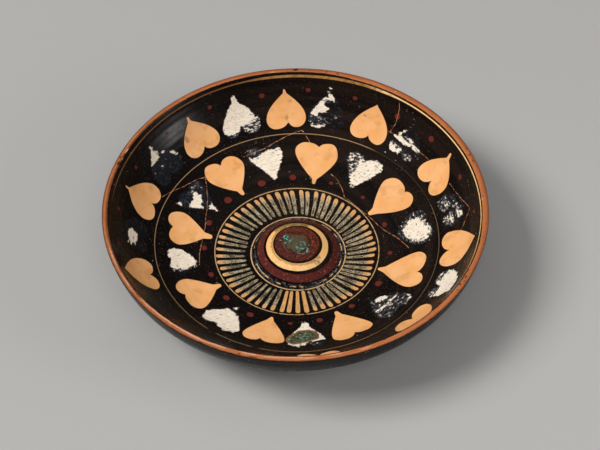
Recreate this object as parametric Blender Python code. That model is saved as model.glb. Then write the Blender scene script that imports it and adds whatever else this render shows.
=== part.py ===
"""Terracotta phiale, a Greek libation bowl: one thrown and fired clay body with a flat lip,
a hollow boss in the middle of its floor and a worn flat ring under it to stand on."""
import math

import bmesh
import bpy
from mathutils import Matrix, Vector
from mathutils.geometry import interpolate_bezier

# Driving dimensions, in metres and degrees. Every other size is worked out from these.
RIM_RADIUS = 0.1055
LIP_WIDTH = 0.0036
LIP_ROUNDING = 0.0005
BOWL_DEPTH = 0.0400
WALL_TOP_SLOPE = 69.7
FLOOR_SLOPE = 2.9
WALL_THICKNESS = 0.0058
WALL_TAPER_LENGTH = 0.0200
BOSS_FOOT_RADIUS = 0.0247
BOSS_HEIGHT = 0.0097
BOSS_THICKNESS = 0.0050
BOSS_FOOT_FILLET = 0.0016
STANDING_RING_WIDTH = 0.0110
STANDING_RING_ROUNDING = 0.0008

# How far the wall keeps its steep line and the floor its flat one before they bend into each
# other, as shares of the way to the corner where the two lines would meet.
WALL_STRAIGHTNESS = 0.74
FLOOR_STRAIGHTNESS = 0.66

# How finely the turned surface is divided.
TURN_STEPS = 72
BOWL_STEPS = 20
BOSS_STEPS = 8
HOLLOW_STEPS = 6
ROUNDING_STEPS = 2

# Glaze and bare fired clay, as the lip shows them.
GLAZE_COLOUR = (0.012, 0.010, 0.009, 1.0)
GLAZE_ROUGHNESS = 0.28
CLAY_COLOUR = (0.53, 0.20, 0.075, 1.0)
CLAY_ROUGHNESS = 0.6

# A crease sharper than this angle, in degrees, is shaded as an edge.
SMOOTHING_ANGLE = 40.0
# Points of the spun shape closer than this, in metres, are one point.
WELD_DISTANCE = 1e-6


def clear_scene():
    for old in list(bpy.data.objects):
        bpy.data.objects.remove(old)


def rounded(before, corner, after, reach):
    """Points of a curve that rounds a corner, starting and ending at this reach from it."""
    start = corner + (before - corner).normalized() * reach
    end = corner + (after - corner).normalized() * reach
    points = []
    for i in range(ROUNDING_STEPS + 1):
        t = i / ROUNDING_STEPS
        points.append(start * (1 - t) ** 2 + corner * 2 * t * (1 - t) + end * t**2)
    return points


def arc(centre, radius, angle_from, angle_to, steps):
    """Points of a circle about a centre on the axis, at angles measured from straight up."""
    points = []
    for i in range(steps + 1):
        angle = angle_from + (angle_to - angle_from) * i / steps
        points.append(centre + radius * Vector((math.sin(angle), math.cos(angle))))
    return points


def inside_curve():
    """The bowl's inside from the lip's inner edge down to the boss, with the lip at height 0."""
    top = Vector((RIM_RADIUS - LIP_WIDTH, 0.0))
    foot = Vector((BOSS_FOOT_RADIUS, -BOWL_DEPTH))
    wall_rise = math.tan(math.radians(WALL_TOP_SLOPE))
    floor_rise = math.tan(math.radians(FLOOR_SLOPE))
    corner_radius = (top.x * wall_rise - BOWL_DEPTH - foot.x * floor_rise) / (wall_rise - floor_rise)
    corner = Vector((corner_radius, (corner_radius - top.x) * wall_rise))
    wall_handle = top.lerp(corner, WALL_STRAIGHTNESS)
    floor_handle = foot.lerp(corner, FLOOR_STRAIGHTNESS)
    return interpolate_bezier(top, wall_handle, floor_handle, foot, BOWL_STEPS + 1)


def thickness(distance):
    """The wall's thickness at this distance down its inside from the lip."""
    at_lip = LIP_WIDTH * math.sin(math.radians(WALL_TOP_SLOPE))
    left = max(0.0, 1 - distance / WALL_TAPER_LENGTH)
    return WALL_THICKNESS - (WALL_THICKNESS - at_lip) * left**2


def outside_curve(inside):
    """The bowl's outside, as far from the inside as the wall is thick there."""
    points = []
    distance = 0.0
    for before, point, after in zip(inside[:1] + inside[:-1], inside, inside[1:] + inside[-1:]):
        distance += (point - before).length
        along = (after - before).normalized()
        points.append(point + Vector((-along.y, along.x)) * thickness(distance))
    return points


def height_at(falling, radius):
    """The height of a falling curve at this radius, by straight runs between its points."""
    for upper, lower in zip(falling, falling[1:]):
        if lower.x <= radius <= upper.x:
            return lower.lerp(upper, (radius - lower.x) / (upper.x - lower.x)).y
    return falling[-1].y


def lip_curve(inside, outside):
    """The flat lip from its outer to its inner edge, with both edges rounded."""
    outer = Vector((RIM_RADIUS, 0.0))
    inner = inside[0]
    outer_edge = rounded(outside[1], outer, inner, LIP_ROUNDING)
    inner_edge = rounded(outer, inner, inside[1], LIP_ROUNDING)
    return outer_edge + inner_edge


def profile():
    """The bowl's whole cross-section on one side of its axis, standing on height 0: from the top
    of the boss out over the floor, wall and lip, down the outside and up into the hollow."""
    inside = inside_curve()
    outside = outside_curve(inside)
    foot = inside[-1]

    sphere_radius = (BOSS_FOOT_RADIUS**2 + BOSS_HEIGHT**2) / (2 * BOSS_HEIGHT)
    sphere_centre = Vector((0.0, foot.y + BOSS_HEIGHT - sphere_radius))
    foot_angle = math.atan2(foot.x, foot.y - sphere_centre.y)
    boss = arc(sphere_centre, sphere_radius, 0.0, foot_angle, BOSS_STEPS)
    boss_foot = rounded(boss[-2], foot, inside[-2], BOSS_FOOT_FILLET)

    ring_radius = BOSS_FOOT_RADIUS + STANDING_RING_WIDTH
    ground = height_at(outside, ring_radius)
    ring_outer = Vector((ring_radius, ground))
    hollow_radius = sphere_radius - BOSS_THICKNESS
    mouth_angle = math.acos((ground - sphere_centre.y) / hollow_radius)
    hollow = arc(sphere_centre, hollow_radius, mouth_angle, 0.0, HOLLOW_STEPS)
    mouth = rounded(ring_outer, hollow[0], hollow[1], STANDING_RING_ROUNDING)

    floor_and_wall = inside[-2:0:-1]
    lip = lip_curve(inside, outside)
    underside = [point for point in outside[1:] if point.x > ring_radius + STANDING_RING_ROUNDING]
    points = boss[:-1] + boss_foot + floor_and_wall + lip[::-1] + underside
    points += [ring_outer] + mouth + hollow[1:]
    return [point - Vector((0.0, ground)) for point in points]


def turned_mesh(name, points):
    """A closed mesh made by spinning a cross-section about the vertical axis."""
    shape = bmesh.new()
    verts = [shape.verts.new((point.x, 0.0, point.y)) for point in points]
    edges = [shape.edges.new(pair) for pair in zip(verts, verts[1:])]
    bmesh.ops.spin(
        shape,
        geom=verts + edges,
        cent=(0.0, 0.0, 0.0),
        axis=(0.0, 0.0, 1.0),
        angle=2 * math.pi,
        steps=TURN_STEPS,
        use_merge=True,
    )
    bmesh.ops.remove_doubles(shape, verts=shape.verts, dist=WELD_DISTANCE)
    bmesh.ops.recalc_face_normals(shape, faces=shape.faces)
    mesh = bpy.data.meshes.new(name)
    shape.to_mesh(mesh)
    shape.free()
    return mesh


def surface_material(name, colour, roughness):
    material = bpy.data.materials.new(name)
    material.use_nodes = True
    shader = material.node_tree.nodes["Principled BSDF"]
    shader.inputs["Base Color"].default_value = colour
    shader.inputs["Roughness"].default_value = roughness
    shader.inputs["Metallic"].default_value = 0.0
    return material


def paint_lip(mesh, lip_height):
    """Black glaze everywhere but on the lip's flat top, which is bare clay."""
    mesh.materials.append(surface_material("black_glaze", GLAZE_COLOUR, GLAZE_ROUGHNESS))
    mesh.materials.append(surface_material("bare_clay", CLAY_COLOUR, CLAY_ROUGHNESS))
    for face in mesh.polygons:
        lowest = min(mesh.vertices[i].co.z for i in face.vertices)
        on_top = lip_height - lowest < LIP_ROUNDING / 10
        face.material_index = 1 if on_top else 0


def build_phiale():
    points = profile()
    mesh = turned_mesh("phiale", points)
    paint_lip(mesh, max(point.y for point in points))
    mesh.shade_smooth()
    mesh.set_sharp_from_angle(angle=math.radians(SMOOTHING_ANGLE))
    phiale = bpy.data.objects.new("phiale", mesh)
    bpy.context.scene.collection.objects.link(phiale)
    phiale.matrix_world = Matrix.Identity(4)
    return phiale


def main():
    clear_scene()
    build_phiale()


main()
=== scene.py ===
"""The finish of a terracotta phiale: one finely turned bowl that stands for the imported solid, in
worn black glaze with two rings of ivy leaves, a ring of tongues and a banded boss, on a pale floor.

Places on the bowl are an angle in degrees, from +X towards +Y, and a run in millimetres: the
length along the surface from the middle of the boss, out to the lip and on down the outside."""
import math

import bpy
import numpy as np
from mathutils import Matrix, Vector, noise
from mathutils.geometry import interpolate_bezier


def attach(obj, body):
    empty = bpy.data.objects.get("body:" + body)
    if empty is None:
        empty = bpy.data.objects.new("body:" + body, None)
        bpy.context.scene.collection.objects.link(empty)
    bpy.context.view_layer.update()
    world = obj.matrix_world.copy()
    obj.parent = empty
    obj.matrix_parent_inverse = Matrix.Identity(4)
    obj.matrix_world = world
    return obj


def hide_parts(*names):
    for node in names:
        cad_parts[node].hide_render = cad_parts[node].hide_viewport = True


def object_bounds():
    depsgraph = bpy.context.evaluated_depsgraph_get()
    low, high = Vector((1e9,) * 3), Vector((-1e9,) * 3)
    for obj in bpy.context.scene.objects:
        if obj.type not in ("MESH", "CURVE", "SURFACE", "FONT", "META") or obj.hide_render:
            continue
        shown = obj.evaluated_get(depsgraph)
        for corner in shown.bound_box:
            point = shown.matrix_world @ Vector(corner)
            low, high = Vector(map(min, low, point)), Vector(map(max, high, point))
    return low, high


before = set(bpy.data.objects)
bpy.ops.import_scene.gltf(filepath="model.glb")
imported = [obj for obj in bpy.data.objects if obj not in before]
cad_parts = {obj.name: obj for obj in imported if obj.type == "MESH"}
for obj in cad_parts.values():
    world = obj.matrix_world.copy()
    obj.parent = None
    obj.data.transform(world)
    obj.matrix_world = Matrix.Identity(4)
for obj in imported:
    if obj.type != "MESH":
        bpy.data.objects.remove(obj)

MM = 0.001
SEED = 7

# The turned form, in metres and degrees, as the solid has it.
RIM_RADIUS = 0.1055
LIP_WIDTH = 0.0036
LIP_ROUNDING = 0.0005
BOWL_DEPTH = 0.0400
WALL_TOP_SLOPE = 69.7
FLOOR_SLOPE = 2.9
WALL_THICKNESS = 0.0058
WALL_TAPER_LENGTH = 0.0200
BOSS_FOOT_RADIUS = 0.0247
BOSS_HEIGHT = 0.0097
BOSS_THICKNESS = 0.0050
BOSS_FOOT_FILLET = 0.0016
STANDING_RING_WIDTH = 0.0110
STANDING_RING_ROUNDING = 0.0008
WALL_STRAIGHTNESS = 0.74
FLOOR_STRAIGHTNESS = 0.66

# How finely the cross-section is divided. The solid's inside has a fifth of these steps and its
# outside starts one of its own steps down, which the first outside step repeats, so that both have
# the same lip. Below the fine ones only one outside point in a few is kept.
BOWL_STEPS = 100
FIRST_OUTSIDE_STEP = 5
FINE_OUTSIDE_STEP = 9
BELOW_LIP_STEPS = 6
OUTSIDE_EVERY = 4
BOSS_STEPS = 30
HOLLOW_STEPS = 8
ROUNDING_STEPS = 3
LIP_STEPS = 9

# The finest turn has this many points round it. A row halves them while its points would stand
# closer than the spacing, in metres.
FINEST_TURN = 768
COARSEST_TURN = 48
POINT_SPACING = 0.00040
OUTSIDE_SPACING = 0.0022


def rounded(before, corner, after, reach):
    """Points of a curve that rounds a corner, starting and ending at this reach from it."""
    start = corner + (before - corner).normalized() * reach
    end = corner + (after - corner).normalized() * reach
    points = []
    for i in range(ROUNDING_STEPS + 1):
        t = i / ROUNDING_STEPS
        points.append(start * (1 - t) ** 2 + corner * 2 * t * (1 - t) + end * t**2)
    return points


def between(start, end, steps):
    """The points that divide a straight line into this many steps, without its two ends."""
    return [start.lerp(end, i / steps) for i in range(1, steps)]


def arc(centre, radius, angle_from, angle_to, steps):
    """Points of a circle about a centre on the axis, at angles measured from straight up."""
    points = []
    for i in range(steps + 1):
        angle = angle_from + (angle_to - angle_from) * i / steps
        points.append(centre + radius * Vector((math.sin(angle), math.cos(angle))))
    return points


def inside_curve():
    """The bowl's inside from the lip's inner edge down to the boss, with the lip at height 0."""
    top = Vector((RIM_RADIUS - LIP_WIDTH, 0.0))
    foot = Vector((BOSS_FOOT_RADIUS, -BOWL_DEPTH))
    wall_rise = math.tan(math.radians(WALL_TOP_SLOPE))
    floor_rise = math.tan(math.radians(FLOOR_SLOPE))
    corner_radius = (top.x * wall_rise - BOWL_DEPTH - foot.x * floor_rise) / (wall_rise - floor_rise)
    corner = Vector((corner_radius, (corner_radius - top.x) * wall_rise))
    wall_handle = top.lerp(corner, WALL_STRAIGHTNESS)
    floor_handle = foot.lerp(corner, FLOOR_STRAIGHTNESS)
    return interpolate_bezier(top, wall_handle, floor_handle, foot, BOWL_STEPS + 1)


def thickness(distance):
    """The wall's thickness at this distance down its inside from the lip."""
    at_lip = LIP_WIDTH * math.sin(math.radians(WALL_TOP_SLOPE))
    left = max(0.0, 1 - distance / WALL_TAPER_LENGTH)
    return WALL_THICKNESS - (WALL_THICKNESS - at_lip) * left**2


def outside_curve(inside):
    """The bowl's outside, as far from the inside as the wall is thick there."""
    points = []
    distance = 0.0
    for before, point, after in zip(inside[:1] + inside[:-1], inside, inside[1:] + inside[-1:]):
        distance += (point - before).length
        along = (after - before).normalized()
        points.append(point + Vector((-along.y, along.x)) * thickness(distance))
    return points


def height_at(falling, radius):
    """The height of a falling curve at this radius, by straight runs between its points."""
    for upper, lower in zip(falling, falling[1:]):
        if lower.x <= radius <= upper.x:
            return lower.lerp(upper, (radius - lower.x) / (upper.x - lower.x)).y
    return falling[-1].y


def profile():
    """The cross-section from the top of the boss out over the lip, down the outside and up into
    the hollow, standing on height 0, with the number of its points that lie on the inside and
    the number down to the end of the finely divided lip."""
    inside = inside_curve()
    outside = outside_curve(inside)
    foot = inside[-1]

    sphere_radius = (BOSS_FOOT_RADIUS**2 + BOSS_HEIGHT**2) / (2 * BOSS_HEIGHT)
    sphere_centre = Vector((0.0, foot.y + BOSS_HEIGHT - sphere_radius))
    foot_angle = math.atan2(foot.x, foot.y - sphere_centre.y)
    boss = arc(sphere_centre, sphere_radius, 0.0, foot_angle, BOSS_STEPS)
    boss_foot = rounded(boss[-2], foot, inside[-2], BOSS_FOOT_FILLET)
    boss_kept = [p for p in boss[:-1] if (p - foot).length > BOSS_FOOT_FILLET]
    floor_and_wall = [p for p in inside[-2:0:-1] if (p - foot).length > BOSS_FOOT_FILLET]

    outer = Vector((RIM_RADIUS, 0.0))
    inner_edge = rounded(inside[1], inside[0], outer, LIP_ROUNDING)
    outer_edge = rounded(inside[0], outer, outside[FIRST_OUTSIDE_STEP], LIP_ROUNDING)
    across = between(inner_edge[-1], outer_edge[0], LIP_STEPS)
    below = between(outer_edge[-1], outside[FIRST_OUTSIDE_STEP], BELOW_LIP_STEPS)
    lip = inner_edge + across + outer_edge + below + outside[FIRST_OUTSIDE_STEP:FINE_OUTSIDE_STEP]

    ring_radius = BOSS_FOOT_RADIUS + STANDING_RING_WIDTH
    ground = height_at(outside, ring_radius)
    ring_outer = Vector((ring_radius, ground))
    hollow_radius = sphere_radius - BOSS_THICKNESS
    mouth_angle = math.acos((ground - sphere_centre.y) / hollow_radius)
    hollow = arc(sphere_centre, hollow_radius, mouth_angle, 0.0, HOLLOW_STEPS)
    mouth = rounded(ring_outer, hollow[0], hollow[1], STANDING_RING_ROUNDING)
    underside = outside[FINE_OUTSIDE_STEP::OUTSIDE_EVERY]
    underside = [p for p in underside if p.x > ring_radius + STANDING_RING_ROUNDING]

    inner_points = boss_kept + boss_foot + floor_and_wall
    points = inner_points + lip + underside + [ring_outer] + mouth + hollow[1:]
    standing = [point - Vector((0.0, ground)) for point in points]
    return standing, len(inner_points), len(inner_points + lip)


# The ornament's own sizes, in millimetres and degrees. A leaf is its tip, its notch, its two widest
# points and the ends of its two lobes, each an angle and a run, then its stem's length, half width
# at the end and half width at the leaf. The leaves of the outer ring point to the lip and those of
# the inner ring to the boss.
OUTER_CLAY_LEAVES = (
    ((165.7, 109.5), (163.6, 89.6), (172.1, 92.0), (156.0, 92.8), (168.5, 85.3), (159.8, 86.0),
     (3.4, 0.5, 0.8)),
    ((129.1, 109.8), (128.1, 90.2), (135.9, 92.3), (120.5, 92.8), (132.6, 86.3), (124.3, 86.8),
     (3.2, 0.7, 1.0)),
    ((93.6, 109.8), (92.5, 90.7), (100.9, 92.5), (85.7, 93.2), (97.4, 86.5), (89.4, 87.2),
     (2.6, 0.5, 1.0)),
    ((60.7, 109.2), (60.0, 90.4), (68.0, 92.5), (53.0, 93.2), (64.5, 86.8), (55.9, 87.0),
     (0.9, 0.3, 0.4)),
    ((26.9, 111.2), (25.9, 91.9), (34.2, 92.0), (18.7, 94.0), (30.3, 86.6), (22.0, 86.2),
     (4.0, 0.8, 1.1)),
    ((-9.6, 112.0), (-8.9, 91.0), (-0.2, 90.5), (-17.4, 98.0), (-3.9, 85.5), (-13.3, 85.5),
     (1.2, 0.3, 0.5)),
    ((-45.5, 112.0), (-45.3, 95.2), (-36.7, 93.5), (-53.5, 98.0), (-39.9, 88.8), (-48.9, 88.8),
     (1.2, 0.3, 0.5)),
    ((-82.5, 111.0), (-82.3, 92.0), (-74.4, 94.0), (-90.3, 94.0), (-77.3, 86.6), (-87.4, 86.4),
     (1.2, 0.3, 0.5)),
    ((-158.1, 112.4), (-160.7, 90.2), (-152.9, 92.4), (-168.0, 92.4), (-157.2, 85.9), (-165.2, 86.1),
     (1.4, 0.4, 0.6)),
)
OUTER_WHITE_LEAVES = (
    ((147.0, 109.8), (147.2, 91.0), (154.2, 93.0), (138.6, 95.0), (151.0, 86.7), (142.5, 87.4),
     (3.0, 0.6, 0.9)),
    ((111.4, 110.4), (111.4, 91.2), (118.5, 92.3), (103.4, 93.0), (115.6, 86.8), (107.0, 86.5),
     (3.2, 0.7, 1.0)),
    ((77.7, 112.0), (78.5, 91.5), (84.9, 92.5), (70.8, 94.0), (81.6, 86.9), (74.5, 87.2),
     (3.0, 0.5, 0.8)),
    ((45.0, 110.0), (44.9, 91.5), (50.9, 92.0), (37.2, 94.5), (47.6, 88.2), (41.0, 87.8),
     (3.0, 0.5, 0.8)),
    ((8.3, 109.5), (9.3, 91.5), (17.2, 91.5), (1.8, 94.5), (13.5, 87.2), (5.8, 87.2),
     (3.0, 0.5, 0.8)),
    ((-27.0, 109.0), (-27.0, 92.5), (-19.2, 94.0), (-33.6, 96.0), (-23.0, 87.4), (-31.0, 87.4),
     (2.0, 0.5, 0.8)),
    ((-64.0, 111.0), (-64.0, 91.0), (-56.5, 94.0), (-71.3, 94.0), (-60.0, 87.0), (-68.0, 87.0),
     (3.0, 0.5, 0.8)),
    ((-104.0, 112.0), (-104.0, 93.5), (-96.5, 96.0), (-111.5, 96.0), (-100.5, 89.5), (-108.0, 89.5),
     (3.0, 0.5, 0.8)),
    ((-125.5, 112.0), (-125.5, 92.0), (-118.0, 94.0), (-133.5, 94.0), (-121.5, 87.0), (-129.5, 87.0),
     (3.0, 0.5, 0.8)),
    ((-143.0, 111.0), (-143.0, 91.0), (-135.4, 94.0), (-150.9, 94.0), (-139.0, 86.5), (-147.0, 86.2),
     (3.0, 0.5, 0.8)),
    ((-178.5, 110.0), (-178.3, 91.0), (-171.0, 93.0), (173.7, 94.0), (-174.5, 87.0), (178.0, 87.2),
     (3.0, 0.5, 0.8)),
)
INNER_CLAY_LEAVES = (
    ((168.3, 50.3), (169.4, 73.0), (178.9, 69.0), (159.3, 70.5), (174.0, 74.5), (164.6, 77.5),
     (5.0, 1.7, 2.3)),
    ((126.0, 52.8), (126.4, 75.0), (136.5, 72.3), (116.2, 71.7), (132.3, 79.2), (121.9, 78.3),
     (4.0, 1.2, 1.7)),
    ((77.9, 52.0), (79.0, 75.8), (89.9, 73.6), (69.1, 71.5), (85.0, 78.4), (73.5, 79.0),
     (3.6, 0.9, 1.4)),
    ((31.6, 50.8), (30.3, 75.0), (42.1, 72.0), (22.0, 72.0), (36.2, 77.8), (26.7, 77.5),
     (4.4, 1.4, 2.5)),
    ((-17.5, 49.8), (-17.9, 73.0), (-5.8, 72.0), (-27.5, 72.0), (-10.4, 76.6), (-23.1, 78.2),
     (4.0, 0.9, 2.2)),
    ((-64.4, 51.4), (-63.6, 73.0), (-54.3, 73.0), (-73.7, 73.0), (-58.0, 75.9), (-68.7, 77.1),
     (3.6, 1.2, 1.8)),
    ((-105.6, 51.8), (-106.6, 71.3), (-95.7, 71.5), (-115.4, 70.5), (-101.0, 74.5), (-111.3, 75.2),
     (3.0, 0.9, 1.9)),
    ((-149.2, 50.6), (-149.4, 73.2), (-138.7, 71.0), (-158.9, 69.0), (-143.3, 75.5), (-153.1, 76.7),
     (4.4, 1.3, 2.1)),
)
INNER_WHITE_LEAVES = (
    ((147.4, 55.3), (147.5, 75.0), (156.8, 74.0), (139.4, 73.5), (152.5, 77.8), (143.5, 77.6),
     (3.4, 0.7, 1.1)),
    ((103.1, 55.3), (105.0, 75.5), (113.4, 73.2), (96.3, 72.5), (109.6, 78.6), (100.2, 78.6),
     (2.4, 0.7, 1.2)),
    ((54.7, 56.6), (55.9, 75.8), (64.5, 75.0), (46.4, 75.0), (60.6, 79.2), (51.4, 79.6),
     (2.4, 0.6, 1.0)),
    ((7.0, 57.0), (10.2, 76.6), (18.9, 72.5), (-1.6, 73.0), (13.5, 79.6), (4.1, 81.0),
     (2.4, 0.6, 1.2)),
    ((-42.2, 54.6), (-41.3, 74.6), (-30.8, 73.0), (-50.1, 71.5), (-35.6, 78.2), (-45.6, 78.5),
     (2.4, 0.6, 1.2)),
    ((-85.6, 54.4), (-85.0, 73.0), (-77.0, 71.0), (-94.2, 70.0), (-80.3, 78.0), (-90.3, 77.0),
     (3.0, 1.2, 1.8)),
    ((-128.0, 54.8), (-128.2, 74.0), (-117.2, 71.0), (-136.8, 70.0), (-122.4, 76.2), (-132.3, 77.0),
     (2.4, 0.8, 1.4)),
    ((-170.5, 57.0), (-170.8, 72.5), (-161.5, 70.0), (-178.2, 70.0), (-166.4, 75.0), (-175.0, 75.0),
     (2.4, 0.6, 1.2)),
)
OUTER_FULLNESS = 0.42
INNER_FULLNESS = 0.24

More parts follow.
